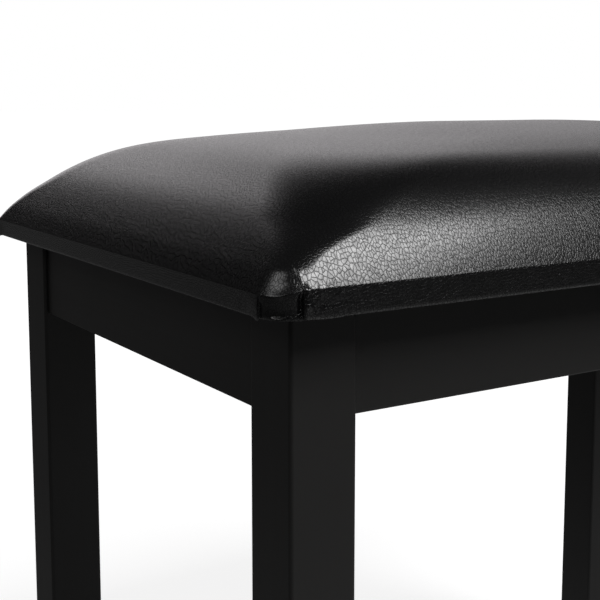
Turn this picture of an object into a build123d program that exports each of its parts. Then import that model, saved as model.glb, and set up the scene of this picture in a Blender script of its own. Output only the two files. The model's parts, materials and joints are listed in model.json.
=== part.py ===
from build123d import *
import os
from math import cos, radians, sin, sqrt

# A piano bench whose padded seat lifts on a hinge along the back.
# Millimetres, with the floor at zero and the front at minus Y.

# Frame of legs and aprons
frame_length = 518.0
frame_depth = 322.0
lid_bottom = 416.0
lid_gap = 2.2
leg_width = 33.0
leg_edge_radius = 1.8
leg_foot_chamfer = 1.2
apron_height = 44.5
apron_thickness = 16.0
apron_setback = 2.5
apron_edge_radius = 1.0

# Compartment floor in its grooves
floor_thickness = 4.0
floor_rise = 6.0
groove_depth = 4.0
groove_play = 0.3
floor_notch_play = 0.5

# Leg joints
dowel_diameter = 6.0
dowel_length = 28.0
dowel_drop = 10.0
dowel_lift = 8.5
hole_play = 0.1
bolt_seat = 12.0
block_thickness = 18.0
block_height = 18.0
bolt_diameter = 6.0
bolt_leg_depth = 28.0
bolt_spare = 2.5
bolt_hole_play = 1.0
washer_diameter = 14.0
washer_thickness = 1.6
nut_across_flats = 10.0
nut_thickness = 5.0

# Screws
screw_diameter = 3.0
screw_head_diameter = 5.6
screw_play = 0.05
recess_width = 0.7
recess_depth = 0.7
block_screw_length = 16.0
block_screw_pocket = 7.4
hinge_screw_length = 9.0
track_screw_length = 12.0

# Feet and bumpers
glide_diameter = 22.0
glide_thickness = 4.0
glide_edge = 1.0
spike_diameter = 3.0
spike_length = 14.0
bumper_diameter = 9.0

# Padded seat
lid_overhang = 16.0
lid_corner_radius = 15.0
board_corner_radius = 24.0
cover_thickness = 1.2
cover_turn_under = 40.0
board_thickness = 10.0
crease_lift = 0.8
shoulder_rise = 39.0
shoulder_run = 60.0
shoulder_power = 2.5
crown_rise = 20.2
crown_power = 1.5
crown_top_length = 94.0
crown_top_depth = 24.0
crown_steps = 12
crown_spacing = 1.8
corner_growth = 2.8
corner_power = 0.68
corner_share = 0.9
foam_play = 0.3
lining_play = 0.5
staple_width = 10.0
staple_wire = 0.7
staple_leg = 6.0
staple_inset = 35.0
staple_pitch = 42.0
staple_corner_clear = 62.0

# Continuous hinge
leaf_thickness = 0.9
leaf_width = 15.0
hinge_end_gap = 10.0
knuckle_count = 27
knuckle_radius = 2.4
knuckle_play = 0.3
knuckle_side_play = 0.15
pin_diameter = 2.4
pin_play = 0.05
hinge_screw_count = 7

# Lid stays
stay_reach = 92.0
track_slope = 8.0
pivot_slope = 5.0
lid_opening = 70.0
track_height = 10.0
track_depth = 6.0
track_back = 1.4
track_wall = 1.2
track_end_room = 2.5
track_screw_inset = 14.0
stud_diameter = 5.0
stud_head_diameter = 7.0
stud_head_thickness = 1.6
slide_play = 0.3
arm_width = 12.0
arm_thickness = 2.0
rivet_diameter = 5.0
rivet_head_diameter = 8.0
rivet_head_thickness = 1.4
stay_play = 0.5
bracket_thickness = 1.5
bracket_width = 26.0
bracket_foot = 16.0

# Places worked out from the sizes above
frame_top = lid_bottom - lid_gap
apron_bottom = frame_top - apron_height
floor_bottom = apron_bottom + floor_rise
floor_top = floor_bottom + floor_thickness
leg_outer_x = -frame_length / 2
leg_outer_y = -frame_depth / 2
leg_inner_x = leg_outer_x + leg_width
leg_inner_y = leg_outer_y + leg_width
apron_outer_x = leg_outer_x + apron_setback
apron_outer_y = leg_outer_y + apron_setback
apron_inner_x = apron_outer_x + apron_thickness
apron_inner_y = apron_outer_y + apron_thickness
bolt_height = floor_top + block_height / 2
lid_length = frame_length + 2 * lid_overhang
lid_depth = frame_depth + 2 * lid_overhang
board_bottom = lid_bottom + cover_thickness
board_top = board_bottom + board_thickness
crease_height = board_top + crease_lift
hinge_y = -apron_outer_y + knuckle_radius + knuckle_play
hinge_z = lid_bottom - knuckle_radius - knuckle_play
screw_head_height = (screw_head_diameter - screw_diameter) / 2


def span(x0, x1, y0, y1, z0, z1):
    size = Box(abs(x1 - x0), abs(y1 - y0), abs(z1 - z0))
    return Pos((x0 + x1) / 2, (y0 + y1) / 2, (z0 + z1) / 2) * size


from_start = (Align.CENTER, Align.CENTER, Align.MIN)


def rod(start, direction, length, diameter):
    axis = Plane(origin=start, z_dir=direction)
    return axis * Cylinder(diameter / 2, length, align=from_start)


def prism(corners, bottom, height):
    return extrude(Pos(0, 0, bottom) * make_face(Polyline(*corners, close=True)), amount=height)


def to_corner(part, right, rear):
    if right:
        part = mirror(part, about=Plane.YZ)
    if rear:
        part = mirror(part, about=Plane.XZ)
    return part


def four_corners(part):
    places = ((False, False), (True, False), (False, True), (True, True))
    return [to_corner(part, right, rear) for right, rear in places]


def flat_screw(head, direction, length, play=0.0):
    # Countersunk wood screw: the head's flat top at the given point, the tip along the direction.
    place = Plane(origin=head, z_dir=direction)
    shank_radius = screw_diameter / 2 + play
    cone = Cone(screw_head_diameter / 2 + play, shank_radius, screw_head_height, align=from_start)
    shank = Cylinder(shank_radius, length, align=from_start)
    body = cone + shank
    if play == 0.0:
        slot = Box(screw_diameter, recess_width, 2 * recess_depth)
        body = body - slot - Rot(0, 0, 90) * slot
    return place * body


def cut_all(part, tools):
    for tool in tools:
        part = part - tool
    return part


def save(name, part):
    solids = list(part) if isinstance(part, (list, tuple)) else [part]
    flat = [solid for piece in solids for solid in piece.solids()]
    shape = flat[0] if len(flat) == 1 else Compound(children=flat)
    shape.label = name
    export_step(shape, "parts/" + name + ".step")


os.makedirs("parts", exist_ok=True)

# The pieces of one corner are made at the front left and mirrored to the others.
diagonal = sqrt(0.5)
inward = (diagonal, diagonal, 0)
seat_drop = bolt_seat / 2
bolt_mouth = (leg_inner_x - seat_drop, leg_inner_y - seat_drop, bolt_height)
block_run = block_thickness * sqrt(2)


def along_bolt(distance):
    return (bolt_mouth[0] + distance * diagonal, bolt_mouth[1] + distance * diagonal, bolt_height)


bolt_length = bolt_leg_depth + block_thickness + washer_thickness + nut_thickness + bolt_spare
bolt = rod(along_bolt(-bolt_leg_depth), inward, bolt_length, bolt_diameter)
bolt_hole = rod(along_bolt(-bolt_leg_depth), inward, bolt_leg_depth, bolt_diameter + hole_play)
block_hole = rod(along_bolt(0), inward, block_thickness, bolt_diameter + bolt_hole_play)
washer = rod(along_bolt(block_thickness), inward, washer_thickness, washer_diameter)
washer = washer - rod(along_bolt(block_thickness), inward, washer_thickness, bolt_diameter + bolt_hole_play)
nut_place = Plane(origin=along_bolt(block_thickness + washer_thickness), z_dir=inward)
nut_outline = RegularPolygon(nut_across_flats / 2, 6, major_radius=False)
nut_outline = nut_outline - Circle((bolt_diameter + hole_play) / 2)
nut = nut_place * extrude(nut_outline, amount=nut_thickness)

# Dowels: two at each apron end, half in the apron and half in the leg.
dowel_heights = (frame_top - dowel_drop, apron_bottom + dowel_lift)
apron_mid_x = (apron_outer_x + apron_inner_x) / 2
apron_mid_y = (apron_outer_y + apron_inner_y) / 2
dowels = []
dowel_holes = []
for height in dowel_heights:
    front_start = (leg_inner_x - dowel_length / 2, apron_mid_y, height)
    side_start = (apron_mid_x, leg_inner_y - dowel_length / 2, height)
    dowels.append(rod(front_start, (1, 0, 0), dowel_length, dowel_diameter))
    dowels.append(rod(side_start, (0, 1, 0), dowel_length, dowel_diameter))
    dowel_holes.append(rod(front_start, (1, 0, 0), dowel_length, dowel_diameter + hole_play))
    dowel_holes.append(rod(side_start, (0, 1, 0), dowel_length, dowel_diameter + hole_play))

# Foot glide with its spike
leg_mid_x = (leg_outer_x + leg_inner_x) / 2
leg_mid_y = (leg_outer_y + leg_inner_y) / 2
glide = rod((leg_mid_x, leg_mid_y, 0), (0, 0, 1), glide_thickness, glide_diameter)
glide = chamfer(glide.edges().group_by(Axis.Z)[0], glide_edge)
spike_top = glide_thickness + spike_length
glide = glide + rod((leg_mid_x, leg_mid_y, 0), (0, 0, 1), spike_top, spike_diameter)
spike_hole = rod((leg_mid_x, leg_mid_y, 0), (0, 0, 1), spike_top, spike_diameter + hole_play)

# Leg with the flat for the corner block cut on its inner corner
leg = span(leg_outer_x, leg_inner_x, leg_outer_y, leg_inner_y, glide_thickness, frame_top)
leg = fillet(leg.edges().filter_by(Axis.Z), leg_edge_radius)
leg = chamfer(leg.faces().sort_by(Axis.Z)[0].edges(), leg_foot_chamfer)
seat_corners = (
    (leg_inner_x, leg_inner_y),
    (leg_inner_x - bolt_seat, leg_inner_y),
    (leg_inner_x, leg_inner_y - bolt_seat),
)
seat_cut = prism(seat_corners, apron_bottom, apron_height)
leg = cut_all(leg - seat_cut - bolt_hole - spike_hole, dowel_holes)

# Corner block between the two aprons, on the compartment floor
block_sum = leg_inner_x + leg_inner_y - bolt_seat
block_corners = (
    (apron_inner_x, block_sum - apron_inner_x),
    (apron_inner_x, block_sum + block_run - apron_inner_x),
    (block_sum + block_run - apron_inner_y, apron_inner_y),
    (block_sum - apron_inner_y, apron_inner_y),
)
block = prism(block_corners, floor_top, block_height)
pocket_diameter = screw_head_diameter + bolt_hole_play
screw_side = block_sum + block_run / 2
front_head = (screw_side - apron_inner_y, apron_inner_y + block_screw_pocket / 2, bolt_height)
side_head = (apron_inner_x + block_screw_pocket / 2, screw_side - apron_inner_x, bolt_height)
block_screws = [
    flat_screw(front_head, (0, -1, 0), block_screw_length),
    flat_screw(side_head, (-1, 0, 0), block_screw_length),
]
block_screw_holes = [
    flat_screw(front_head, (0, -1, 0), block_screw_length, screw_play),
    flat_screw(side_head, (-1, 0, 0), block_screw_length, screw_play),
    rod(front_head, (0, 1, 0), block_run, pocket_diameter),
    rod(side_head, (1, 0, 0), block_run, pocket_diameter),
]
block = cut_all(block - block_hole, block_screw_holes)

corner_names = ("front_left", "front_right", "rear_left", "rear_right")
for name, piece in zip(corner_names, four_corners(leg)):
    save("leg_" + name, piece)
for name, piece in zip(corner_names, four_corners(block)):
    save("corner_block_" + name, piece)
for name, piece in zip(corner_names, four_corners(glide)):
    save("foot_glide_" + name, piece)
save("hanger_bolts", four_corners(bolt))
save("bolt_washers", four_corners(washer))
save("bolt_nuts", four_corners(nut))
save("apron_dowels", [piece for dowel in dowels for piece in four_corners(dowel)])
save("block_screws", [piece for screw in block_screws for piece in four_corners(screw)])
bumper = rod((leg_mid_x, leg_mid_y, frame_top), (0, 0, 1), lid_gap, bumper_diameter)
save("lid_bumpers", four_corners(bumper))
corner_holes = [piece for hole in dowel_holes + block_screw_holes for piece in four_corners(hole)]

# Compartment floor, notched round the legs
tongue = groove_depth - groove_play
panel = span(apron_inner_x - tongue, -apron_inner_x + tongue,
             apron_inner_y - tongue, -apron_inner_y + tongue,
             floor_bottom, floor_top)
notch = span(leg_outer_x, leg_inner_x + floor_notch_play, leg_outer_y, leg_inner_y + floor_notch_play,
             floor_bottom, floor_top)
panel = cut_all(panel, four_corners(notch))
save("compartment_floor", panel)
groove = span(apron_inner_x - groove_depth, -apron_inner_x + groove_depth,
              apron_inner_y - groove_depth, -apron_inner_y + groove_depth,
              floor_bottom, floor_top + groove_play)

# Stay on the left side. Distances run from the hinge axis towards the front, angles below the level.
pivot_y = hinge_y - stay_reach * cos(radians(pivot_slope))
pivot_z = hinge_z - stay_reach * sin(radians(pivot_slope))
arm_slope = 2 * track_slope - pivot_slope
rest_angle = track_slope - pivot_slope
stud_closed = 2 * stay_reach * cos(radians(rest_angle))
stud_open = 2 * stay_reach * cos(radians(rest_angle + lid_opening))
stud_room = stud_head_diameter / 2 + track_end_room
cavity_start = stud_open - stud_room
cavity_end = stud_closed + stud_room
arm_near = track_depth + stay_play + rivet_head_thickness
arm_far = arm_near + arm_thickness
plate_near = arm_far + stay_play
plate_far = plate_near + bracket_thickness
cavity_depth = track_depth - track_back - track_wall
stud_start = track_back + (cavity_depth - stud_head_thickness) / 2


def below(angle):
    return (0, -cos(radians(angle)), -sin(radians(angle)))


def bar(start, end, width, near, far):
    return Pos((start + end) / 2, 0, (near + far) / 2) * Box(end - start, width, far - near)


track_frame = Plane(origin=(apron_inner_x, hinge_y, hinge_z), x_dir=below(track_slope), z_dir=(1, 0, 0))
slot_width = stud_diameter + 2 * slide_play
track = bar(cavity_start - track_wall, cavity_end + track_wall, track_height, 0, track_depth)
cavity_height = track_height - 2 * track_wall
track = track - bar(cavity_start, cavity_end, cavity_height, track_back, track_depth - track_wall)
track = track_frame * (track - bar(cavity_start, cavity_end, slot_width, track_back, track_depth))
track_screws = []
track_screw_holes = []
for distance in (cavity_start + track_screw_inset, cavity_end - track_screw_inset):
    head = track_frame.from_local_coords(Vector(distance, 0, track_back))
    track_screws.append(flat_screw(head, (-1, 0, 0), track_screw_length))
    track_screw_holes.append(flat_screw(head, (-1, 0, 0), track_screw_length, screw_play))
track = cut_all(track, track_screw_holes)

arm_frame = Plane(origin=(apron_inner_x, pivot_y, pivot_z), x_dir=below(arm_slope), z_dir=(1, 0, 0))
arm_outline = Pos(stay_reach / 2, 0, arm_near) * SlotCenterToCenter(stay_reach, arm_width)
arm = extrude(arm_outline, amount=arm_thickness)
stud_place = Pos(stay_reach, 0, 0)


def disc(near, far, diameter):
    return Pos(0, 0, near) * Cylinder(diameter / 2, far - near, align=from_start)


arm = arm - disc(arm_near, arm_far, rivet_diameter + 2 * pin_play)
arm = arm_frame * (arm - stud_place * disc(arm_near, arm_far, stud_diameter + 2 * pin_play))
stud_end = arm_far + rivet_head_thickness
stud = disc(stud_start, stud_end, stud_diameter)
stud = stud + disc(stud_start, stud_start + stud_head_thickness, stud_head_diameter)
stud = stud + disc(arm_far, stud_end, rivet_head_diameter)
stud = arm_frame * (stud_place * stud)
rivet_end = plate_far + rivet_head_thickness
rivet = disc(arm_near - rivet_head_thickness, rivet_end, rivet_diameter)
rivet = rivet + disc(arm_near - rivet_head_thickness, arm_near - pin_play, rivet_head_diameter)
rivet = arm_frame * (rivet + disc(plate_far, rivet_end, rivet_head_diameter))

# Bracket under the lid that carries the arm's pivot
pivot_drop = lid_bottom - pivot_z
plate_frame = Plane(origin=(apron_inner_x, pivot_y, pivot_z), x_dir=(0, -1, 0), z_dir=(1, 0, 0))
plate = disc(plate_near, plate_far, arm_width)
hanger = Box(arm_width, pivot_drop, bracket_thickness)
plate = plate + Pos(0, -pivot_drop / 2, (plate_near + plate_far) / 2) * hanger
plate = plate_frame * (plate - disc(plate_near, plate_far, rivet_diameter + 2 * pin_play))
foot_x = apron_inner_x + plate_near
foot = span(foot_x, foot_x + bracket_foot, pivot_y - bracket_width / 2, pivot_y + bracket_width / 2,
            lid_bottom - bracket_thickness, lid_bottom)
bracket = plate + foot
bracket_screws = []
bracket_screw_holes = []
for side in (-1, 1):
    screw_y = pivot_y + side * (bracket_width / 2 - screw_head_diameter)
    head = (foot_x + bracket_foot / 2 + bracket_thickness, screw_y, lid_bottom - bracket_thickness)
    bracket_screws.append(flat_screw(head, (0, 0, 1), hinge_screw_length))
    bracket_screw_holes.append(flat_screw(head, (0, 0, 1), hinge_screw_length, screw_play))
bracket = cut_all(bracket, bracket_screw_holes)

for name, piece in (("stay_track", track), ("stay_arm", arm), ("stay_stud", stud),
                    ("stay_pivot", rivet), ("stay_bracket", bracket)):
    save(name + "_left", piece)
    save(name + "_right", to_corner(piece, True, False))
save("track_screws", track_screws + [to_corner(piece, True, False) for piece in track_screws])
save("bracket_screws", bracket_screws + [to_corner(piece, True, False) for piece in bracket_screws])
bracket_screw_holes = bracket_screw_holes + [to_corner(piece, True, False) for piece in bracket_screw_holes]

# Continuous hinge between the rear legs
hinge_length = 2 * (-leg_inner_x - hinge_end_gap)
hinge_start = (-hinge_length / 2, hinge_y, hinge_z)
knuckle_pitch = hinge_length / knuckle_count
knuckle_reach = knuckle_radius + knuckle_play
leaf_screw_y = hinge_y - (leaf_width + knuckle_reach) / 2


def hinge_leaf(bottom, first):
    leaf = span(-hinge_length / 2, hinge_length / 2, hinge_y - leaf_width, hinge_y - knuckle_reach,
                bottom, bottom + leaf_thickness)
    own = []
    for number in range(first, knuckle_count, 2):
        start = -hinge_length / 2 + number * knuckle_pitch + knuckle_side_play
        end = start + knuckle_pitch - 2 * knuckle_side_play
        own.append(rod((start, hinge_y, hinge_z), (1, 0, 0), end - start, 2 * knuckle_radius))
        own.append(span(start, end, hinge_y - knuckle_reach, hinge_y, bottom, bottom + leaf_thickness))
    leaf = leaf + own
    return leaf - rod(hinge_start, (1, 0, 0), hinge_length, pin_diameter + 2 * pin_play)


def hinge_screws(count, height, direction, play=0.0):
    pitch = hinge_length / hinge_screw_count
    first = -pitch * (count - 1) / 2
    return [flat_screw((first + number * pitch, leaf_screw_y, height), direction, hinge_screw_length, play)
            for number in range(count)]


frame_leaf_top = frame_top + leaf_thickness
lid_leaf_bottom = lid_bottom - leaf_thickness
frame_leaf_screws = (hinge_screw_count, frame_leaf_top, (0, 0, -1))
lid_leaf_screws = (hinge_screw_count - 1, lid_leaf_bottom, (0, 0, 1))
frame_leaf_holes = hinge_screws(*frame_leaf_screws, screw_play)
lid_leaf_holes = hinge_screws(*lid_leaf_screws, screw_play)
save("hinge_leaf_frame", cut_all(hinge_leaf(frame_top, 0), frame_leaf_holes))
save("hinge_leaf_lid", cut_all(hinge_leaf(lid_leaf_bottom, 1), lid_leaf_holes))
save("hinge_pin", rod(hinge_start, (1, 0, 0), hinge_length, pin_diameter))
save("hinge_screws_frame", hinge_screws(*frame_leaf_screws))
save("hinge_screws_lid", hinge_screws(*lid_leaf_screws))

# Aprons between the legs
front_apron = span(leg_inner_x, -leg_inner_x, apron_outer_y, apron_inner_y, apron_bottom, frame_top)
front_apron = fillet(front_apron.edges().filter_by(Axis.X).group_by(Axis.Z)[0], apron_edge_radius)
rear_apron = mirror(front_apron, about=Plane.XZ)
left_apron = span(apron_outer_x, apron_inner_x, leg_inner_y, -leg_inner_y, apron_bottom, frame_top)
left_apron = fillet(left_apron.edges().filter_by(Axis.Y).group_by(Axis.Z)[0], apron_edge_radius)
left_apron = cut_all(left_apron - groove, corner_holes + track_screw_holes)
save("apron_front", cut_all(front_apron - groove, corner_holes))
save("apron_rear", cut_all(rear_apron - groove, corner_holes + frame_leaf_holes))
save("apron_left", left_apron)
save("apron_right", to_corner(left_apron, True, False))

# Padded seat: board, foam, cover, lining and staples


def seat_outline(end_inset, side_inset, radius, height):
    outline = RectangleRounded(lid_length - 2 * end_inset, lid_depth - 2 * side_inset, radius)
    return Pos(0, 0, height) * outline


def slab(inset, bottom, thickness, radius=lid_corner_radius):
    return extrude(seat_outline(inset, inset, radius, bottom), amount=thickness)


def dome(skin):
    # Crowned form above the crease, a skin's thickness inside the cover's outer face.
    end_run = (lid_length - crown_top_length) / 2
    side_run = (lid_depth - crown_top_depth) / 2
    outlines = []
    for step in range(crown_steps + 1):
        share = (step / crown_steps) ** crown_spacing
        inset = side_run * share
        climb = 1 - (1 - min(inset / shoulder_run, 1)) ** shoulder_power
        swell = 1 - (1 - share) ** crown_power
        height = crease_height + shoulder_rise * climb + crown_rise * swell
        room = corner_share * (lid_depth / 2 - inset - skin)
        radius = min(lid_corner_radius + corner_growth * inset ** corner_power, room)
        outlines.append(seat_outline(end_run * share + skin, inset + skin, radius, height - skin))
    return loft(outlines)


def staple(x, y, turn, play=0.0):
    wire = staple_wire + 2 * play
    crown = Pos(0, 0, -staple_wire / 2) * Box(staple_width, staple_wire, staple_wire)
    legs = [Pos(side * (staple_width - staple_wire) / 2, 0, staple_leg / 2) * Box(wire, wire, staple_leg)
            for side in (-1, 1)]
    place = Pos(x, y, lid_bottom) * Rot(0, 0, turn)
    return [place * piece for piece in legs] if play else [place * (crown + legs)]


def staple_rows(play=0.0):
    pieces = []
    for half_run, offset, turn in ((lid_length / 2, lid_depth / 2, 0), (lid_depth / 2, lid_length / 2, 90)):
        steps = int(2 * (half_run - staple_corner_clear) / staple_pitch)
        for side in (-1, 1):
            for step in range(steps + 1):
                along = (step - steps / 2) * staple_pitch
                across = side * (offset - staple_inset)
                x, y = (along, across) if turn == 0 else (across, along)
                pieces += staple(x, y, turn, play)
    return pieces


staple_holes = staple_rows(screw_play)
# The board's corners are rounder than the cover's, whose folded layers fill the space.
board_blank = slab(cover_thickness, board_bottom, board_thickness, board_corner_radius)
board = board_blank - (staple_holes + lid_leaf_holes + bracket_screw_holes)
cover = slab(0, lid_bottom, crease_height - lid_bottom) + dome(0)
cover = cover - board_blank - dome(cover_thickness)
cover = cover - slab(cover_turn_under, lid_bottom, cover_thickness)
cover = cover - (staple_holes + lid_leaf_holes)
foam = dome(cover_thickness + foam_play) - slab(0, board_bottom, board_thickness)
lining = slab(cover_turn_under + lining_play, lid_bottom, cover_thickness) - bracket_screw_holes
save("seat_board", board)
save("seat_cover", cover)
save("seat_foam", foam)
save("lid_lining", lining)
save("cover_staples", staple_rows())
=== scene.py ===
import bisect
import json
import math

import bmesh
import bpy
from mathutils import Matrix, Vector, noise


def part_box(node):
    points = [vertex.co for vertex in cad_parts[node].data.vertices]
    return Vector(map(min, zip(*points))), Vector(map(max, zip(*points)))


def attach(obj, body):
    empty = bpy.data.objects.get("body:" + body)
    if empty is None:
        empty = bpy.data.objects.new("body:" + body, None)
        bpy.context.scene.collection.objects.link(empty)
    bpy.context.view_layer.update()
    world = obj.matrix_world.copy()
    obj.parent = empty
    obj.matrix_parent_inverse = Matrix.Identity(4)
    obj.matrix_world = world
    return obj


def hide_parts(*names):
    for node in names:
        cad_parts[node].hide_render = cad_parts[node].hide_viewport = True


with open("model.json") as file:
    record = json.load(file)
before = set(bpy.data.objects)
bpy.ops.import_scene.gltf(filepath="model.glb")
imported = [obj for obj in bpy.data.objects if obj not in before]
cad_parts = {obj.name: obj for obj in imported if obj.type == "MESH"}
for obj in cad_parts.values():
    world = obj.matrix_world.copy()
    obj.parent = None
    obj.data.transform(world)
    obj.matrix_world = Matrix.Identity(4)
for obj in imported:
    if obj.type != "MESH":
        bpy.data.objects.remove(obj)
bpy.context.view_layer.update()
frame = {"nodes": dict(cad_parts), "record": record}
scene = bpy.context.scene
mm = 0.001
print("frame loaded,", len(frame["nodes"]), "nodes")

# camera: front left corner, a little above the seat
cameraSetup = {
    "place": (-0.4927, -0.5404, 0.5017),
    "tiltDown": 7.13,
    "turnRight": 32.14,
    "lens": 68.06,
    "sensor": 36,
    "shiftDown": 0.1,
    "nearClip": 0.01,
}


def setCamera(setup):
    eye = bpy.data.cameras.new("benchCamera")
    eye.sensor_width = setup["sensor"]
    eye.lens = setup["lens"]
    eye.shift_y = -setup["shiftDown"]
    eye.clip_start = setup["nearClip"]
    holder = bpy.data.objects.new("benchCamera", eye)
    holder.location = setup["place"]
    tilt, turn = math.radians(90 - setup["tiltDown"]), -math.radians(setup["turnRight"])
    holder.rotation_euler = (tilt, 0, turn)
    scene.collection.objects.link(holder)
    scene.camera = holder


setCamera(cameraSetup)
scene.view_settings.view_transform = "Standard"
print("camera set")


# shader maths: a socket that can be added, taken away and multiplied
class Wire:
    def __init__(self, finish, socket):
        self.finish = finish
        self.socket = socket

    def maths(self, operation, first, second):
        return self.finish.node("Math", {"operation": operation}, {0: first, 1: second})

    def __add__(self, other):
        return self.maths("ADD", self, other)

    def __sub__(self, other):
        return self.maths("SUBTRACT", self, other)

    def __rsub__(self, other):
        return self.maths("SUBTRACT", other, self)

    def __mul__(self, other):
        return self.maths("MULTIPLY", self, other)

    __radd__ = __add__


# the node tree of one material, or of the world
class Finish:
    def __init__(self, owner):
        owner.use_nodes = True
        self.owner = owner
        self.tree = owner.node_tree
        self.tree.nodes.clear()

    def node(self, kind, settings=None, sockets=None, out=0):
        made = self.tree.nodes.new("ShaderNode" + kind)
        for name, value in (settings or {}).items():
            setattr(made, name, value)
        for name, value in (sockets or {}).items():
            if isinstance(value, Wire):
                self.tree.links.new(value.socket, made.inputs[name])
            else:
                made.inputs[name].default_value = value
        return Wire(self, made.outputs[out]) if len(made.outputs) else None

    def place(self, scale=(1, 1, 1)):
        point = self.node("TexCoord", out="Object")
        return self.node("Mapping", None, {"Vector": point, "Scale": scale})

    def stretched(self, along, lengthwise, across):
        return self.place(tuple(lengthwise if axis == along else across for axis in "xyz"))

    def part(self, vector, axis):
        return self.node("SeparateXYZ", None, {"Vector": vector}, axis)

    def grain(self, vector, scale, detail=3.0, rough=0.55, **more):
        sockets = {"Vector": vector, "Scale": scale, "Detail": detail, "Roughness": rough}
        return self.node("TexNoise", more, sockets)

    def ease(self, value, low, high):
        settings = {"interpolation_type": "SMOOTHSTEP"}
        return self.node("MapRange", settings, {"Value": value, 1: low, 2: high})

    def blendColour(self, share, first, second):
        sockets = {0: share, 6: (*first, 1), 7: (*second, 1)}
        return self.node("Mix", {"data_type": "RGBA"}, sockets, 2)

    def bump(self, height, distance, strength=1.0):
        sockets = {"Height": height, "Distance": distance, "Strength": strength}
        return self.node("Bump", None, sockets)

    def rayIs(self, kind):
        return self.node("LightPath", out=f"Is {kind} Ray")

    def shine(self, kind, colour, strength=1.0):
        return self.node(kind, None, {"Color": colour, "Strength": strength})

    def mixShaders(self, share, first, second):
        return self.node("MixShader", None, {0: share, 1: first, 2: second})

    def surface(self, colour, roughness, normal, **others):
        sockets = {"Base Color": colour, "Roughness": roughness, "Normal": normal}
        sockets.update({name.replace("_", " "): value for name, value in others.items()})
        shader = self.node("BsdfPrincipled", None, sockets)
        self.node("OutputMaterial", None, {"Surface": shader})
        return self.owner


def newFinish(name):
    return Finish(bpy.data.materials.new(name))


flatNoise = {"noise_dimensions": "2D"}

# black vinyl: pebbled hide, laid out on the cover's own map in metres
vinylLook = {
    "cellsPerMetre": 690,
    "wander": 0.0006,
    "wanderScale": 260,
    "rim": (0.0, 0.16),
    "dome": (0.0, 0.5),
    "fineScale": 2600,
    "patchScale": 16,
    "unevenScale": 520,
    "unevenSpan": (0.3, 0.7),
    "grooveDepth": 0.00007,
    "fineDepth": 0.000003,
    "rimHeight": 0.55,
    "domeHeight": 0.5,
    "unevenHeight": 0.35,
    "dark": (0.0028, 0.0028, 0.0029),
    "light": (0.0050, 0.0050, 0.0052),
    "rough": 0.27,
    "lacquerLeast": 0.5,
    "lacquerRough": 0.22,
    "specular": 0.28,
}


def makeBlackVinyl(look):
    f = newFinish("blackVinyl")
    hide = f.node("UVMap", {"uv_map": "hide"})
    driftSockets = {"Vector": hide, "Scale": look["wanderScale"], "Detail": 2}
    drift = f.node("TexNoise", flatNoise, driftSockets, "Color")
    sway = (look["wander"], look["wander"], 0)
    bent = f.node("VectorMath", {"operation": "MULTIPLY_ADD"}, {0: drift, 1: sway, 2: hide})
    cellSettings = {"voronoi_dimensions": "2D", "feature": "DISTANCE_TO_EDGE"}
    cellSockets = {"Vector": bent, "Scale": look["cellsPerMetre"], "Randomness": 1.0}
    groove = f.node("TexVoronoi", cellSettings, cellSockets, "Distance")
    rim, dome = f.ease(groove, *look["rim"]), f.ease(groove, *look["dome"])
    pebble = rim * 0.7 + dome * 0.3
    fine = f.grain(hide, look["fineScale"], 2, **flatNoise)
    patch = f.grain(hide, look["patchScale"], 3, **flatNoise)
    uneven = f.ease(f.grain(hide, look["unevenScale"], 2, **flatNoise), *look["unevenSpan"])
    # the cover's own attribute sets how deep the grooves are; the domes show everywhere
    depth = f.node("Attribute", {"attribute_name": "grainDepth"}, None, "Fac")
    height = rim * depth * look["rimHeight"] + dome * look["domeHeight"]
    height += uneven * look["unevenHeight"]
    height += fine * (look["fineDepth"] / look["grooveDepth"])
    normal = f.bump(height, look["grooveDepth"])
    # the base colour is darker in the grooves between the pebbles: painted shade in the grain's
    # hollows; the patches vary the tone at random
    colour = f.blendColour(pebble * 0.7 + patch * 0.3, look["dark"], look["light"])
    roughness = look["rough"] - pebble * 0.05 + patch * 0.04
    # the top lacquer lies on the pebbles and misses the grooves
    least = look["lacquerLeast"]
    lacquer = {
        "Coat_Weight": rim * (uneven * (1 - least) + least),
        "Coat_Roughness": look["lacquerRough"],
    }
    return f.surface(colour, roughness, normal, Specular_IOR_Level=look["specular"], **lacquer)


# satin black paint over wood, with the pores lying along the grain
paintLook = {
    "poresAlong": 9,
    "poresAcross": 260,
    "orangePeel": 420,
    "cloud": 14,
    "dark": (0.0105, 0.0101, 0.0097),
    "light": (0.0145, 0.0140, 0.0134),
    "rough": 0.38,
    "depth": 0.00006,
    "specular": 0.45,
}


def makeBlackPaint(look, along):
    f = newFinish("blackPaint" + along.upper())
    pores = f.grain(f.stretched(along, look["poresAlong"], look["poresAcross"]), 1.0, 4, 0.6)
    peel = f.grain(f.place(), look["orangePeel"], 2)
    cloud = f.grain(f.place(), look["cloud"], 3)
    colour = f.blendColour(cloud, look["dark"], look["light"])
    roughness = look["rough"] + cloud * 0.08 + pores * 0.06
    normal = f.bump(pores * 0.7 + peel * 0.3, look["depth"], 0.8)
    return f.surface(colour, roughness, normal, Specular_IOR_Level=look["specular"])


# hardboard, painted matt on its smooth side
boardLook = {
    "fibre": 900,
    "blotch": 30,
    "dark": (0.014, 0.013, 0.012),
    "light": (0.034, 0.032, 0.030),
    "rough": 0.58,
    "depth": 0.00012,
    "specular": 0.3,
}


def makeBlackBoard(look):
    f = newFinish("blackBoard")
    fibre = f.grain(f.place(), look["fibre"], 4, 0.7)
    blotch = f.grain(f.place(), look["blotch"], 4)
    colour = f.blendColour(blotch * 0.6 + fibre * 0.4, look["dark"], look["light"])
    normal = f.bump(fibre, look["depth"], 0.7)
    roughness = look["rough"] + fibre * 0.22
    return f.surface(colour, roughness, normal, Specular_IOR_Level=look["specular"])


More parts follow.
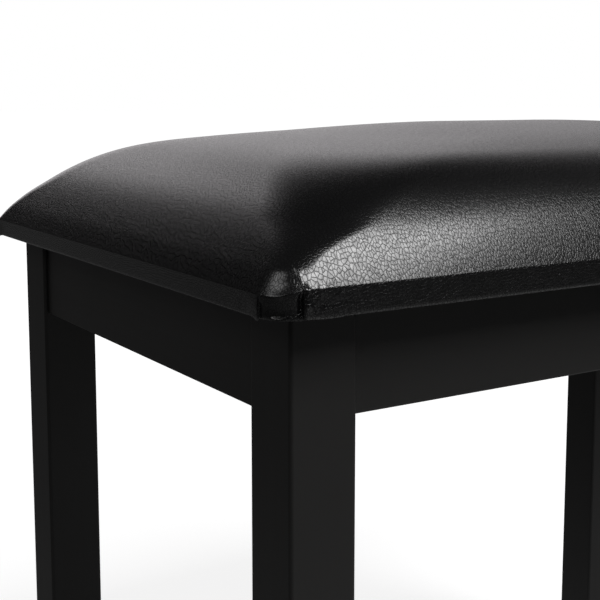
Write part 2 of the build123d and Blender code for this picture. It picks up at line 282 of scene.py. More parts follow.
# pale hardwood with growth lines, pores and flecks
woodLook = {
    "ringsAlong": 5,
    "ringsAcross": 60,
    "ringSpan": (0.32, 0.68),
    "poresAlong": 60,
    "poresAcross": 1500,
    "poreSpan": (0.56, 0.70),
    "light": (0.56, 0.39, 0.23),
    "dark": (0.37, 0.235, 0.125),
    "rough": 0.56,
    "depth": 0.00007,
}


def makeBareWood(look, along):
    f = newFinish("bareWood" + along.upper())
    rings = f.grain(f.stretched(along, look["ringsAlong"], look["ringsAcross"]), 1.0, 5, 0.6)
    pores = f.grain(f.stretched(along, look["poresAlong"], look["poresAcross"]), 1.0, 2)
    flecks = f.ease(pores, *look["poreSpan"])
    tone = f.ease(rings, *look["ringSpan"]) * 0.75 + flecks * 0.25
    colour = f.blendColour(tone, look["light"], look["dark"])
    return f.surface(colour, look["rough"] + flecks * 0.2, f.bump(pores, look["depth"], 0.6))


# plywood: seven plies through its thickness, face grain along the length
plyLook = {
    "plies": 7,
    "plySpan": (0.35, 0.65),
    "grain": (7, 90, 400),
    "grainSpan": (0.3, 0.7),
    "pores": (90, 1400, 900),
    "light": (0.60, 0.44, 0.27),
    "dark": (0.36, 0.235, 0.13),
    "rough": 0.6,
    "depth": 0.0001,
}


def makePlywood(look, low, high):
    f = newFinish("plywood")
    climbed = (f.part(f.place(), "Z") - low) * (look["plies"] / (high - low))
    ply = f.node("Math", {"operation": "PINGPONG"}, {0: climbed, 1: 1.0})
    across = f.ease(ply, *look["plySpan"])
    grain = f.grain(f.place(look["grain"]), 1.0, 5, 0.6)
    pores = f.grain(f.place(look["pores"]), 1.0, 2)
    tone = across * 0.45 + f.ease(grain, *look["grainSpan"]) * 0.4 + pores * 0.15
    colour = f.blendColour(tone, look["light"], look["dark"])
    normal = f.bump(pores + across * 0.6, look["depth"], 0.6)
    return f.surface(colour, look["rough"] + pores * 0.15, normal)


# non-woven black lining with pressed dots
clothLook = {
    "fibre": 1500,
    "dotsPerMetre": 480,
    "dotEdge": (0.18, 0.34),
    "dark": (0.013, 0.013, 0.014),
    "light": (0.036, 0.036, 0.038),
    "rough": 0.82,
    "depth": 0.0002,
    "sheen": 0.25,
    "sheenRough": 0.5,
}


def makeLiningCloth(look):
    f = newFinish("liningCloth")
    cloth = f.node("UVMap", {"uv_map": "cloth"})
    fibre = f.grain(cloth, look["fibre"], 4, 0.7, **flatNoise)
    dotSettings = {"voronoi_dimensions": "2D", "feature": "F1"}
    dotSockets = {"Vector": cloth, "Scale": look["dotsPerMetre"], "Randomness": 0.0}
    dot = f.node("TexVoronoi", dotSettings, dotSockets, "Distance")
    pressed = 1 - f.ease(dot, *look["dotEdge"])
    colour = f.blendColour(fibre * 0.7 + pressed * 0.3, look["dark"], look["light"])
    normal = f.bump(fibre * 0.5 - pressed * 0.5, look["depth"], 0.8)
    sheen = {"Sheen_Weight": look["sheen"], "Sheen_Roughness": look["sheenRough"]}
    return f.surface(colour, look["rough"] - pressed * 0.15, normal, **sheen)


# plated steel: nickel is warm and brushed, zinc bluish and mottled
steelLook = {"lineLength": 25, "mottle": 220, "depth": 0.00002}
nickelLook = {
    "name": "nickelSteel",
    "light": (0.66, 0.63, 0.58),
    "dark": (0.50, 0.48, 0.44),
    "along": "x",
    "lines": 900,
    "rough": 0.22,
}
zincLook = {
    "name": "zincSteel",
    "light": (0.62, 0.63, 0.65),
    "dark": (0.47, 0.49, 0.51),
    "along": "y",
    "lines": 500,
    "rough": 0.30,
}


def makeSteel(look):
    f = newFinish(look["name"])
    lines = f.stretched(look["along"], steelLook["lineLength"], look["lines"])
    brushed = f.grain(lines, 1.0, 3)
    mottle = f.grain(f.place(), steelLook["mottle"], 3)
    colour = f.blendColour(mottle * 0.6 + brushed * 0.4, look["dark"], look["light"])
    roughness = look["rough"] + brushed * 0.12 + mottle * 0.08
    normal = f.bump(brushed * 0.6 + mottle * 0.4, steelLook["depth"], 0.6)
    return f.surface(colour, roughness, normal, Metallic=1.0)


# moulded plastic and rubber share a fine eggshell texture
mouldedLook = {"eggshell": 1800, "scuff": 160, "scuffShape": (1, 1, 0.3)}
plasticLook = {
    "name": "blackPlastic",
    "dark": (0.016, 0.016, 0.016),
    "light": (0.034, 0.034, 0.034),
    "rough": 0.42,
    "depth": 0.00004,
}
rubberLook = {
    "name": "bumperRubber",
    "dark": (0.018, 0.018, 0.018),
    "light": (0.032, 0.031, 0.030),
    "rough": 0.66,
    "depth": 0.00006,
}


def makeMoulded(look):
    f = newFinish(look["name"])
    eggshell = f.grain(f.place(), mouldedLook["eggshell"], 3, 0.6)
    scuff = f.grain(f.place(mouldedLook["scuffShape"]), mouldedLook["scuff"], 4)
    colour = f.blendColour(eggshell * 0.4 + scuff * 0.6, look["dark"], look["light"])
    normal = f.bump(eggshell, look["depth"], 0.7)
    return f.surface(colour, look["rough"] + scuff * 0.15, normal)


boardLow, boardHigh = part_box("seat_board")
blackVinyl = makeBlackVinyl(vinylLook)
liningCloth = makeLiningCloth(clothLook)
paintAlong = {axis: makeBlackPaint(paintLook, axis) for axis in "xyz"}
woodAlong = {axis: makeBareWood(woodLook, axis) for axis in "xy"}
finishes = {
    "black_board": makeBlackBoard(boardLook),
    "plywood": makePlywood(plyLook, boardLow.z, boardHigh.z),
    "nickel_steel": makeSteel(nickelLook),
    "zinc_steel": makeSteel(zincLook),
    "black_plastic": makeMoulded(plasticLook),
    "rubber": makeMoulded(rubberLook),
}


def finishFor(node, slotName):
    if slotName == "black_paint":
        if node.startswith("leg"):
            return paintAlong["z"]
        return paintAlong["x" if node in ("apron_front", "apron_rear") else "y"]
    if slotName == "bare_wood":
        return woodAlong["y" if node == "apron_dowels" else "x"]
    return finishes.get(slotName)


def dressNodes():
    for row in frame["record"]["subparts"]:
        look = finishFor(row["node"], row["material_slot"])
        if look is None:
            continue
        shown = frame["nodes"][row["node"]]
        if not shown.material_slots:
            shown.data.materials.append(look)
        for held in shown.material_slots:
            held.material = look


dressNodes()
print("finishes given to the frame's nodes")


def smoothStep(value, low, high):
    share = min(max((value - low) / (high - low), 0.0), 1.0)
    return share * share * (3 - 2 * share)


def fadeOut(value, low, high):
    return 1 - smoothStep(value, low, high)


def hump(value, centre, width):
    return math.exp(-((value - centre) / width) ** 2)


# padded seat: hide drawn over the foam, down the board's edge and under it; in millimetres
coverLow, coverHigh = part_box("seat_cover")
seat = {
    "halfLength": (coverHigh.x - coverLow.x) / 2 / mm,
    "halfDepth": (coverHigh.y - coverLow.y) / 2 / mm,
    "underside": coverLow.z / mm,
    "finest": 0.42,
    "finestReach": 3.5,
    "coarsest": 8.0,
    "spacingGrowth": 0.07,
    "insetHalvings": 24,
    "cornerRadius": 15.0,
    "cornerGrowth": 2.8,
    "cornerPower": 0.68,
    "cornerShare": 0.9,
    "hipTight": 9.0,
    "hipTightRise": (0, 5),
    "hipTightFall": (6, 17),
    "hipRound": 4.0,
    "hipRoundRise": (8, 16),
    "hipRoundFall": (35, 80),
    "endSoftness": 2.2,
    "endSoftReach": 5.0,
    "endSoftSpan": (-6, 9),
    "crease": 12.0,
    "shoulderRise": 39.0,
    "shoulderRun": 60.0,
    "shoulderPower": 2.5,
    "crownRise": 20.2,
    "crownPower": 1.5,
    "topLength": 94.0,
    "topDepth": 24.0,
    "bandRows": 11,
    "edgeRoll": 1.4,
    "rollTurns": (30, 60, 90),
    "crispRow": 0.3,
    "grainFade": (10.0, 23.0),
    "grainSpan": (-3, 5),
    "grainFaint": 0.45,
    "grainBand": 1.9,
    "grainEndBand": 0.35,
    "turnUnder": 40.0,
    "underShares": (0.12, 0.3, 0.55, 0.8, 1.0),
    "hide": 1.1,
    "slopeGather": 0.62,
    "gatherSpan": (0.15, 0.7),
}
endRun = seat["halfLength"] - seat["topLength"] / 2
sideRun = seat["halfDepth"] - seat["topDepth"] / 2


# each corner: the front panel's edge is folded over a sunk flap, and the end panel tucks under it;
# pairs are the ends of a fade, or a place and a width
fold = {
    "frontAt": 13.0,
    "endAt": 14.5,
    "step": 0.9,
    "band": (3, 12.5),
    "lowBand": (4, 10.5),
    "lowSlope": (14, 25),
    "flapDepth": 0.8,
    "flapFlatten": 0.6,
    "endEdge": 5,
    "frontProud": 0.9,
    "frontSpan": (8, 15),
    "frontWidth": 8,
    "slopeProud": 0.4,
    "slopeSpan": (15, 25),
    "slopeWidth": 22,
    "endProud": 0.5,
    "endWidth": 6,
    "gapDepth": 1.4,
    "gapAt": -1.4,
    "gapWidth": 1.3,
    "gapInward": (6, 11),
    "gapFoot": (-1, 9),
    "gapHead": (9, 12.5),
    "lipRoll": 0.25,
    "rollCrest": (0.5, 0.7),
    "rollDip": (2.2, 0.8),
    "rollDipShare": 0.6,
    "rollFoot": (7, 11),
    "rollHead": (17, 23),
    "frontLip": 0.4,
    "endLip": 0.6,
    "lipReach": 3,
    "bunch": 1.2,
    "bunchReach": 8,
    "bunchFoot": (2, 6),
    "bunchHead": (11, 14),
    "broadRipple": (0.45, 0.40, 4.7),
    "fineRipple": (0.9, 0.7, 9.1),
    "fineShare": 0.6,
    "hemHeight": 5,
    "tail": 1.0,
    "tailWidth": 3,
    "hemLift": 0.9,
    "hemLiftPlace": (0, 5),
    "hemSag": 0.5,
    "hemSagPlace": (14, 6),
    "reach": 48.0,
    "undersideNormal": -0.8,
    "softRounds": 8,
    "softFactor": 0.5,
    "softMargin": 2,
    "softSpan": (6.5, 15),
}


def rippleAt(along, height, ripple):
    scaleAlong, scaleUp, layer = ripple
    return noise.noise(Vector((along * scaleAlong, height * scaleUp, layer)))


def foldMove(a, b, h):
    # from the distances to the end and to the long side, and the height: the outward move, the
    # slides towards the corner along the front and along the end, and the drop
    front, end = a - fold["frontAt"], b - fold["endAt"]
    pastFront, pastEnd = max(front, 0), max(end, 0)
    onFront = smoothStep(front, -fold["step"], 0)
    onEnd = smoothStep(end, -fold["step"], 0)
    offEnd, offFront = 1 - onEnd, 1 - onFront
    flap = offFront * offEnd
    radius = seat["cornerRadius"]
    turn = math.atan2(max(radius - b, 0.0), max(radius - a, 1e-6))
    middle = math.sin(2 * turn) ** 2
    onBand = fadeOut(h, *fold["band"])
    onLow = fadeOut(h, *fold["lowBand"])
    onFold = fadeOut(h, *fold["lowSlope"])
    # the end panel's edge shows only low on the band, the front panel's up to the slope
    nearEnd = hump(end, 0, fold["endEdge"])
    sunk = fold["flapDepth"] * (onLow * nearEnd + onBand * (1 - nearEnd))
    out = -flap * (sunk + fold["flapFlatten"] * middle * onBand)
    bandProud = fold["frontProud"] * fadeOut(h, *fold["frontSpan"])
    slopeProud = fold["slopeProud"] * fadeOut(h, *fold["slopeSpan"])
    proud = bandProud * hump(pastFront, 0, fold["frontWidth"])
    proud += slopeProud * hump(pastFront, 0, fold["slopeWidth"])
    out += onFront * offEnd * proud
    out += onLow * onEnd * offFront * fold["endProud"] * hump(pastEnd, 0, fold["endWidth"])
    # dark gap on the band beside the lip, and the lip's rolled edge
    low = fadeOut(b, *fold["gapInward"])
    wedge = smoothStep(h, *fold["gapFoot"]) * fadeOut(h, *fold["gapHead"])
    out -= low * fold["gapDepth"] * hump(front, fold["gapAt"], fold["gapWidth"]) * wedge
    roll = hump(front, *fold["rollCrest"]) - fold["rollDipShare"] * hump(front, *fold["rollDip"])
    foot, head = smoothStep(h, *fold["rollFoot"]), fadeOut(h, *fold["rollHead"])
    out += low * fold["lipRoll"] * roll * foot * head
    # puckers on the band beside the lip
    near = math.exp(-pastFront / fold["bunchReach"]) * onFront * offEnd
    ripple = rippleAt(front, h, fold["broadRipple"])
    ripple += fold["fineShare"] * rippleAt(front, h, fold["fineRipple"])
    foot, head = smoothStep(h, *fold["bunchFoot"]), fadeOut(h, *fold["bunchHead"])
    out += fold["bunch"] * near * ripple * foot * head
    slideFront = fold["frontLip"] * onFold * onFront * offEnd * fadeOut(front, 0, fold["lipReach"])
    slideEnd = fold["endLip"] * onLow * onEnd * offFront * fadeOut(end, 0, fold["lipReach"])
    # the hem hangs a little at the end panel's edge and waves along the front
    hem = fadeOut(h, 0, fold["hemHeight"])
    drop = hem * onEnd * offFront * fold["tail"] * hump(pastEnd, 0, fold["tailWidth"])
    lifted = fold["hemLift"] * hump(front, *fold["hemLiftPlace"])
    lifted -= fold["hemSag"] * hump(front, *fold["hemSagPlace"])
    drop -= hem * onFront * offEnd * lifted
    return out, slideFront, slideEnd, drop


def crownHeight(inset):
    left = max(1 - inset / seat["shoulderRun"], 0.0)
    climb = 1 - left ** seat["shoulderPower"]
    swell = 1 - (1 - min(inset / sideRun, 1.0)) ** seat["crownPower"]
    return seat["crease"] + seat["shoulderRise"] * climb + seat["crownRise"] * swell


def cornerRadiusAt(y, inset):
    radius = seat["cornerRadius"] + seat["cornerGrowth"] * inset ** seat["cornerPower"]
    # gathered hide keeps the front corners sharp low down; above, all four are rounder
    rise, fall = smoothStep(inset, *seat["hipRoundRise"]), fadeOut(inset, *seat["hipRoundFall"])
    radius += seat["hipRound"] * rise * fall
    if y < 0:
        rise = smoothStep(inset, *seat["hipTightRise"])
        radius -= seat["hipTight"] * rise * fadeOut(inset, *seat["hipTightFall"])
    return radius


def outsideAt(x, y, inset):
    halfDepth = seat["halfDepth"] - inset
    halfLength = seat["halfLength"] - inset * endRun / sideRun
    radius = min(cornerRadiusAt(y, inset), seat["cornerShare"] * halfDepth)
    dx = abs(x) - halfLength + radius
    dy = abs(y) - halfDepth + radius
    if dx > 0 and dy > 0:
        return math.hypot(dx, dy) > radius
    return max(dx, dy) > radius


def insetAt(x, y):
    low, high = 0.0, sideRun
    for _ in range(seat["insetHalvings"]):
        middle = (low + high) / 2
        if outsideAt(x, y, middle):
            high = middle
        else:
            low = middle
    return low


def columnPlaces(half):
    # distances from the edge, finest at the corner fold
    places = [0.0, seat["crispRow"]]
    while places[-1] < half:
        away = max(abs(places[-1] - fold["frontAt"]) - seat["finestReach"], 0)
        spacing = min(seat["finest"] + seat["spacingGrowth"] * away, seat["coarsest"])
        places.append(places[-1] + spacing)
    return [place * half / places[-1] for place in places]


def spread(share, half, places):
    return math.copysign(half - places[round((1 - abs(share)) * (len(places) - 1))], share)


def roundCorner(x, y, halfX, halfY, radius):
    u, v = (abs(x) - halfX + radius) / radius, (abs(y) - halfY + radius) / radius
    if u <= 0 or v <= 0:
        return x, y
    newU, newV = u * math.sqrt(1 - v * v / 2), v * math.sqrt(1 - u * u / 2)
    newX, newY = halfX - radius + newU * radius, halfY - radius + newV * radius
    return math.copysign(newX, x), math.copysign(newY, y)


def roundSeatCorner(x, y):
    return roundCorner(x, y, seat["halfLength"], seat["halfDepth"], seat["cornerRadius"])


def insetOutline(x, y, inset):
    # the outline's own point, drawn in with the corner's radius kept
    radius = seat["cornerRadius"]
    straightX, straightY = seat["halfLength"] - radius, seat["halfDepth"] - radius
    shortX, shortY = straightX - inset, straightY - inset
    overX, overY = abs(x) - straightX, abs(y) - straightY
    newX = shortX + overX if overX > 0 else abs(x) * shortX / straightX
    newY = shortY + overY if overY > 0 else abs(y) * shortY / straightY
    return math.copysign(newX, x), math.copysign(newY, y)


# cloth simulation of the foam's swell on a coarse sheet, read back as a lift at each point
swellSetup = {
    "cells": (68, 44),
    "startLower": 0.3,
    "lowerReach": 70,
    "pressure": 1.2,
    "quality": 6,
    "mass": 0.3,
    "stretchStiffness": 40,
    "bendStiffness": 8,
    "frames": 20,
    "cap": 6.0,
}


def startDrop(setup, inset):
    return setup["startLower"] * smoothStep(inset, 0, setup["lowerReach"])


def startSheet(setup):
    bm = bmesh.new()
    across, along = setup["cells"]
    bmesh.ops.create_grid(bm, x_segments=across, y_segments=along, size=1.0)
    for vert in bm.verts:
        x, y = roundSeatCorner(vert.co.x * seat["halfLength"], vert.co.y * seat["halfDepth"])
        inset = insetAt(x, y)
        vert.co = Vector((x, y, crownHeight(inset) - startDrop(setup, inset))) * mm
    mesh = bpy.data.meshes.new("foamSwell")
    bm.to_mesh(mesh)
    edgeVerts = [vert.index for vert in bm.verts if vert.is_boundary]
    bm.free()
    return mesh, edgeVerts


def simulateSwell(setup):
    mesh, edgeVerts = startSheet(setup)
    rest = [vert.co.z for vert in mesh.vertices]
    foam = bpy.data.objects.new("foamSwell", mesh)
    scene.collection.objects.link(foam)
    pinned = foam.vertex_groups.new(name="pinned")
    pinned.add(edgeVerts, 1.0, "REPLACE")
    cloth = foam.modifiers.new("swell", "CLOTH")
    cloth.settings.quality = setup["quality"]
    cloth.settings.mass = setup["mass"]
    cloth.settings.tension_stiffness = setup["stretchStiffness"]
    cloth.settings.compression_stiffness = setup["stretchStiffness"]
    cloth.settings.bending_stiffness = setup["bendStiffness"]
    cloth.settings.vertex_group_mass = "pinned"
    cloth.settings.use_pressure = True
    cloth.settings.uniform_pressure_force = setup["pressure"]
    cloth.settings.effector_weights.gravity = 0
    cloth.collision_settings.use_collision = False
    cloth.point_cache.frame_end = setup["frames"]
    for step in range(1, setup["frames"] + 1):
        scene.frame_set(step)
    swollen = foam.evaluated_get(bpy.context.evaluated_depsgraph_get()).to_mesh()
    lifts = [vert.co.z - low for vert, low in zip(swollen.vertices, rest)]
    bpy.data.objects.remove(foam)
    scene.frame_set(1)
    cap = setup["cap"] * mm
    return [min(max(lift, -cap), cap) / mm for lift in lifts]


def splineShares(t):
    # cubic B-spline weights of the four nearest rows or columns
    before = (1 - t) ** 3 / 6
    here = (3 * t - 6) * t * t / 6 + 2 / 3
    following = ((3 - 3 * t) * t + 3) * t / 6 + 1 / 6
    return before, here, following, t ** 3 / 6


def nearest(index, last):
    return [min(max(index + step, 0), last) for step in (-1, 0, 1, 2)]


def liftReader(setup, lifts):
    columns, rows = setup["cells"]

    def liftAt(x, y):
        across = (x / seat["halfLength"] + 1) / 2 * columns
        along = (y / seat["halfDepth"] + 1) / 2 * rows
        i, j = min(int(across), columns - 1), min(int(along), rows - 1)
        picked = nearest(i, columns)
        shares = splineShares(across - i)
        total = 0.0
        for row, rowShare in zip(nearest(j, rows), splineShares(along - j)):
            start = row * (columns + 1)
            level = sum(share * lifts[start + column] for share, column in zip(shares, picked))
            total += rowShare * level
        return total

    return liftAt


swellLifts = simulateSwell(swellSetup)
liftAt = liftReader(swellSetup, swellLifts)
print("foam swell simulated, mm:", round(min(swellLifts), 2), "to", round(max(swellLifts), 2))


def inFlap(a, b, h):
    margin = fold["softMargin"]
    low, high = fold["softSpan"]
    return a < fold["frontAt"] - margin and b < fold["endAt"] - margin and low < h < high


def foldCorners(bm):
    moves, soft = [], []
    for vert in bm.verts:
        a = seat["halfLength"] - abs(vert.co.x)
        b = seat["halfDepth"] - abs(vert.co.y)
        if a > fold["reach"] or b > fold["reach"]:
            continue
        if inFlap(a, b, vert.co.z):
            soft.append(vert)
        # the part turned under stays flat
        if vert.normal.z <= fold["undersideNormal"]:
            continue
        out, slideFront, slideEnd, drop = foldMove(a, b, vert.co.z)
        slideX = math.copysign(slideFront, vert.co.x)
        slideY = math.copysign(slideEnd, vert.co.y)
        moves.append((vert, vert.normal * out + Vector((slideX, slideY, -drop))))
    for vert, move in moves:
        vert.co += move
    # the flap's upper edge is soft
    everyAxis = {"use_axis_x": True, "use_axis_y": True, "use_axis_z": True}
    for _ in range(fold["softRounds"]):
        bmesh.ops.smooth_vert(bm, verts=soft, factor=fold["softFactor"], **everyAxis)


def mapHide(bm, arcX, arcY):
    flat = bm.verts.layers.float_vector["flat"]
    hide = bm.loops.layers.uv.new("hide")
    for face in bm.faces:
        onEnd = all(abs(abs(vert[flat].x) - seat["halfLength"]) < 1e-4 for vert in face.verts)
        for loop in face.loops:
            x, y, drop = loop.vert[flat]
            u = lengthAt(arcX, abs(x)) + (drop if onEnd else 0)
            v = lengthAt(arcY, abs(y)) + (0 if onEnd else drop)
            loop[hide].uv = (math.copysign(u, x) * mm, math.copysign(v, y) * mm)


def arcTable(places, ratio):
    # length of hide from the middle out, gathered where it runs up a slope
    places = sorted(places)
    heights = [crownHeight((places[-1] - place) / ratio) for place in places]
    lengths = [0.0]
    for at in range(1, len(places)):
        run, rise = places[at] - places[at - 1], heights[at - 1] - heights[at]
        length = math.hypot(run, rise)
        steep = rise / max(length, 1e-9)
        gathered = (1 - seat["slopeGather"]) * smoothStep(steep, *seat["gatherSpan"])
        lengths.append(lengths[-1] + length * (1 - gathered))
    return places, lengths


def lengthAt(table, place):
    places, lengths = table
    after = min(max(bisect.bisect_left(places, place), 1), len(places) - 1)
    share = (place - places[after - 1]) / (places[after] - places[after - 1])
    return lengths[after - 1] + share * (lengths[after] - lengths[after - 1])


def longShare(x, y, low, high):
    # 1 on the long slopes, 0 on the ends
    fromEnd = (seat["halfLength"] - abs(x)) * sideRun / endRun
    fromSide = seat["halfDepth"] - abs(y)
    return smoothStep(fromEnd - fromSide, low, high)


def endSettle(x, y, inset):
    # the crease is crisp along the front and rounded over at the ends
    left = max(1 - inset / seat["endSoftReach"], 0.0)
    return seat["endSoftness"] * left * left * (1 - longShare(x, y, *seat["endSoftSpan"]))


def topGrain(x, y, inset):
    # grooves are deep on the long slopes and faint on the ends and the crown
    deep = longShare(x, y, *seat["grainSpan"]) * fadeOut(inset, *seat["grainFade"])
    return seat["grainFaint"] + (1 - seat["grainFaint"]) * deep


def bandGrain(x, y):
    end = seat["grainEndBand"]
    return end + (seat["grainBand"] - end) * longShare(x, y, *seat["grainSpan"])


def drawTop(bm, flat, grain):
    columnSteps, rowSteps = columnPlaces(seat["halfLength"]), columnPlaces(seat["halfDepth"])
    cells = (2 * len(columnSteps) - 2, 2 * len(rowSteps) - 2)
    bmesh.ops.create_grid(bm, x_segments=cells[0], y_segments=cells[1], size=1.0)
    columns, rows = set(), set()
    for vert in bm.verts:
        x = spread(vert.co.x, seat["halfLength"], columnSteps)
        y = spread(vert.co.y, seat["halfDepth"], rowSteps)
        columns.add(round(abs(x), 3))
        rows.add(round(abs(y), 3))
        roundX, roundY = roundSeatCorner(x, y)
        inset = insetAt(roundX, roundY)
        height = crownHeight(inset) - endSettle(roundX, roundY, inset)
        if liftAt:
            height += liftAt(x, y) - startDrop(swellSetup, inset)
        vert[flat] = (x, y, 0)
        vert.co = (roundX, roundY, height)
        vert[grain] = topGrain(roundX, roundY, inset)
    return arcTable(columns, endRun / sideRun), arcTable(rows, 1.0)


def bandSteps():
    # inset and height of each row: down the board's edge, round its lower edge, turned under
    roll, rows = seat["edgeRoll"], seat["bandRows"]
    top = seat["crease"] - seat["crispRow"]
    steps = [(0.0, top - (top - roll) * row / rows) for row in range(rows + 1)]
    for angle in map(math.radians, seat["rollTurns"]):
        steps.append((roll * (1 - math.cos(angle)), roll * (1 - math.sin(angle))))
    return steps + [(seat["turnUnder"] * share, 0.0) for share in seat["underShares"]]


def drawBand(bm, flat, grain):
    edges = [edge for edge in bm.edges if edge.is_boundary]
    outline = {}
    for vert in {v for edge in edges for v in edge.verts}:
        outline[tuple(vert[flat].xy)] = vert.co.copy()
    drop, last = 0.0, (0.0, seat["crease"])
    for inset, height in bandSteps():
        drop += math.hypot(inset - last[0], height - last[1])
        last = (inset, height)
        made = bmesh.ops.extrude_edge_only(bm, edges=edges)["geom"]
        edges = [item for item in made if isinstance(item, bmesh.types.BMEdge) and item.is_boundary]
        for vert in (item for item in made if isinstance(item, bmesh.types.BMVert)):
            key = tuple(vert[flat].xy)
            start = outline[key]
            x, y = insetOutline(start.x, start.y, inset)
            vert[flat] = (*key, drop)
            vert[grain] = bandGrain(x, y)
            vert.co = (x, y, height * start.z / seat["crease"])


def settleOrder(bm):
    # extruding makes edges and faces in no fixed order; sorted, they are the same each run
    bm.verts.index_update()
    count = len(bm.verts)

    def rank(item):
        corners = [vert.index for vert in item.verts]
        return min(corners) * count + max(corners)

    bm.edges.sort(key=rank)
    bm.faces.sort(key=rank)


def buildSeat():
    bm = bmesh.new()
    flat = bm.verts.layers.float_vector.new("flat")
    grain = bm.verts.layers.float.new("grainDepth")
    arcX, arcY = drawTop(bm, flat, grain)
    drawBand(bm, flat, grain)
    settleOrder(bm)
    bmesh.ops.recalc_face_normals(bm, faces=bm.faces)
    bm.normal_update()
    mapHide(bm, arcX, arcY)
    foldCorners(bm)
    bmesh.ops.translate(bm, verts=bm.verts, vec=(0, 0, seat["underside"]))
    bmesh.ops.scale(bm, verts=bm.verts, vec=(mm, mm, mm))
    return bm


def newPiece(name, bm, look):
    for face in bm.faces:
        face.smooth = True
    mesh = bpy.data.meshes.new(name)
    bm.to_mesh(mesh)
    bm.free()
    mesh.materials.append(look)
    piece = bpy.data.objects.new(name, mesh)
    scene.collection.objects.link(piece)
    return piece


def thicken(piece, thickness):
    skin = piece.modifiers.new("thickness", "SOLIDIFY")
    skin.thickness = thickness
    skin.offset = -1
    return piece


paddedSeat = thicken(newPiece("padded_seat", buildSeat(), blackVinyl), seat["hide"] * mm)
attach(paddedSeat, "lid")
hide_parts("seat_cover", "seat_foam")
print("padded seat built")

# lining cloth stapled under the board, pulled tight with a little sag between the staples
liningLow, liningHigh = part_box("lid_lining")
lining = {
    "cells": (110, 66),
    "cornerRadius": 15.0,
    "lowered": 0.1,
    "sag": 1.1,
    "thickness": 0.5,
    "pucker": 0.28,
    "puckersPerMetre": 26,
    "puckerLayer": 2.0,
    "puckerReach": 22,
    "puckerEdge": 4,
}


def liningDrop(s, t, x, y, edge):
    sag = lining["sag"] * (1 - s * s) * (1 - t * t)
    scale = lining["puckersPerMetre"]
    pulled = noise.noise(Vector((x * scale, y * scale, lining["puckerLayer"])))
    pulled *= math.exp(-edge / lining["puckerReach"])
    pulled *= smoothStep(edge, 0, lining["puckerEdge"])
    return sag + lining["pucker"] * (1 + pulled)


def buildLining():
    halfX = (liningHigh.x - liningLow.x) / 2
    halfY = (liningHigh.y - liningLow.y) / 2
    bm = bmesh.new()
    across, along = lining["cells"]
    bmesh.ops.create_grid(bm, x_segments=across, y_segments=along, size=1.0)
    cloth = bm.loops.layers.uv.new("cloth")
    for face in bm.faces:
        for loop in face.loops:
            loop[cloth].uv = (loop.vert.co.x * halfX, loop.vert.co.y * halfY)
    top = liningHigh.z - lining["lowered"] * mm
    for vert in bm.verts:
        s, t = vert.co.x, vert.co.y
        x, y = roundCorner(s * halfX, t * halfY, halfX, halfY, lining["cornerRadius"] * mm)
        edge = min(halfX - abs(x), halfY - abs(y)) / mm
        vert.co = (x, y, top - liningDrop(s, t, x, y, edge) * mm)
    bmesh.ops.reverse_faces(bm, faces=bm.faces)
    return bm


liningPiece = newPiece("under_lining", buildLining(), liningCloth)
underLining = thicken(liningPiece, lining["thickness"] * mm)
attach(underLining, "lid")
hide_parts("lid_lining")
print("lining built")

# studio lamps: an overhead soft panel in front, and a weaker one at the left
keyLight = {
    "name": "keyLamp",
    "place": (0.275, -0.925, 1.44),
    "aim": (0.275, -0.925, 0),
    "size": (1.05, 0.71),
    "power": 25.0,
}
fillLight = {
    "name": "fillLamp",
    "place": (-2.1, -0.1, 2.1),
    "aim": (0, 0, 0.3),
    "size": (1.25, 1.25),
    "power": 10.0,
}
white = (1, 1, 1)

# floor: matt to the light, paler in reflections behind the bench and close to it
floorLook = {
    "half": 40.0,
    "cells": 8,
    "mottle": 6,
    "dark": (0.17, 0.17, 0.17),
    "light": (0.20, 0.20, 0.20),
    "rightSpan": (-0.3, 0.3),
    "behindSpan": (0.3, 1.6),
    "behindSheen": 0.055,
    "behindRightSheen": 0.075,
    "nearSpan": (0.55, 1.0),
    "nearSheen": 0.08,
    "nearRightSheen": 0.14,
    "paper": (0.78, 0.78, 0.78, 1),
    "glowSpan": (0.6, 1.8),
    "glowNear": (0.8, 0.8, 0.8),
}

# room: dark, with a white sweep behind; spans are of the ray's direction
roomLook = {
    "tint": (1, 0.966, 0.985, 1),
    "backdrop": 0.60,
    "room": 0.015,
    "leftGlow": 0.018,
    "leftSpan": (0.1, -0.15),
    "backSpan": (-0.15, 0.35),
    "topEdge": 0.44,
    "topLeftRise": 0.2,
    "topSpan": (0.0, 0.35),
    "topSoft": 0.17,
    "edgeLean": 0.11,
    "edgeSpan": (0.08, 0.17),
    "brightest": 1.25,
    "firstFall": 0.25,
    "firstSpan": (0.12, 0.5),
    "secondFall": 0.36,
    "secondSpan": (0.5, 0.85),
}


def softLamp(name, place, aim, size, power):
    lamp = bpy.data.lights.new(name, "AREA")
    lamp.shape = "RECTANGLE"
    lamp.size, lamp.size_y = size
    lamp.energy = power
    holder = bpy.data.objects.new(name, lamp)
    holder.location = place
    aimed = (Vector(aim) - Vector(place)).to_track_quat("-Z", "Y")
    holder.rotation_euler = aimed.to_euler()
    holder.visible_camera = False
    scene.collection.objects.link(holder)


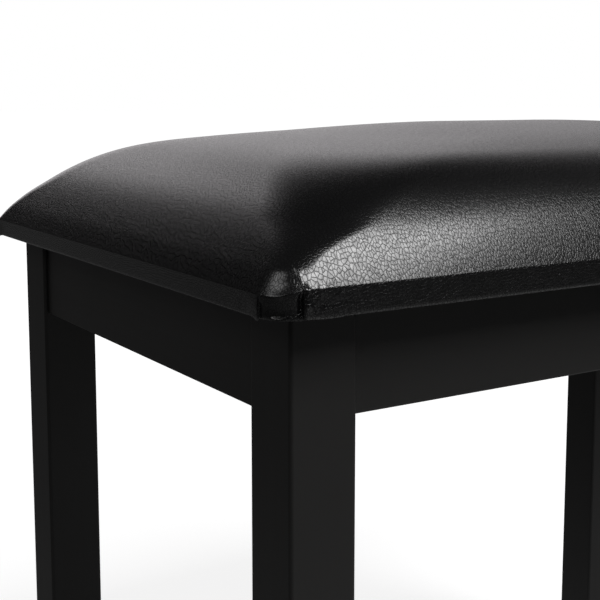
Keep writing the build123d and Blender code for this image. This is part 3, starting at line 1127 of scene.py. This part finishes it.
def makeFloor(look):
    bm = bmesh.new()
    cells = look["cells"]
    bmesh.ops.create_grid(bm, x_segments=cells, y_segments=cells, size=look["half"])
    f = newFinish("paleFloor")
    place = f.place()
    colour = f.blendColour(f.grain(place, look["mottle"], 3), look["dark"], look["light"])
    matt = f.node("BsdfDiffuse", None, {"Color": colour})
    away = f.node("VectorMath", {"operation": "LENGTH"}, {0: place}, "Value")
    atRight = f.ease(f.part(place, "X"), *look["rightSpan"])
    behind = f.ease(f.part(place, "Y"), *look["behindSpan"])
    near = 1 - f.ease(away, *look["nearSpan"])
    sheen = behind * (look["behindSheen"] + atRight * look["behindRightSheen"])
    sheen += near * (look["nearSheen"] + atRight * look["nearRightSheen"])
    bright = f.shine("Emission", (*white, 1))
    reflected = f.mixShaders(f.rayIs("Glossy") * sheen, matt, bright)
    # what the camera sees is white paper that still takes the shadow
    paper = f.node("BsdfDiffuse", None, {"Color": look["paper"]})
    glow = f.blendColour(f.ease(away, *look["glowSpan"]), look["glowNear"], white)
    shown = f.node("AddShader", None, {0: paper, 1: f.shine("Emission", glow)})
    mixed = f.mixShaders(f.rayIs("Camera"), reflected, shown)
    f.node("OutputMaterial", None, {"Surface": mixed})
    floor = newPiece("studioFloor", bm, f.owner)


def makeRoom(look):
    world = bpy.data.worlds.new("studioRoom")
    scene.world = world
    f = Finish(world)
    ray = f.node("TexCoord", out="Generated")
    x, y, z = (f.part(ray, axis) for axis in "XYZ")
    # the sweep's top edge is lower towards the right, its left edge nearly straight behind
    top = look["topEdge"] + (1 - f.ease(x, *look["topSpan"])) * look["topLeftRise"]
    low = 1 - f.ease(z - top, -look["topSoft"], look["topSoft"])
    atBack = f.ease(y, *look["backSpan"])
    behind = atBack * f.ease(x + y * look["edgeLean"], *look["edgeSpan"])
    fall = look["brightest"] - f.ease(x, *look["firstSpan"]) * look["firstFall"]
    fall -= f.ease(x, *look["secondSpan"]) * look["secondFall"]
    # the room's left side is a little lighter than its front
    leftSide = f.ease(x, *look["leftSpan"]) * atBack * look["leftGlow"]
    level = low * behind * fall * look["backdrop"] + leftSide + look["room"]
    lit = f.shine("Background", look["tint"], level)
    mixed = f.mixShaders(f.rayIs("Camera"), lit, f.shine("Background", (*white, 1)))
    f.node("OutputWorld", None, {"Surface": mixed})


makeFloor(floorLook)
makeRoom(roomLook)
softLamp(**keyLight)
softLamp(**fillLight)
print("studio lit")
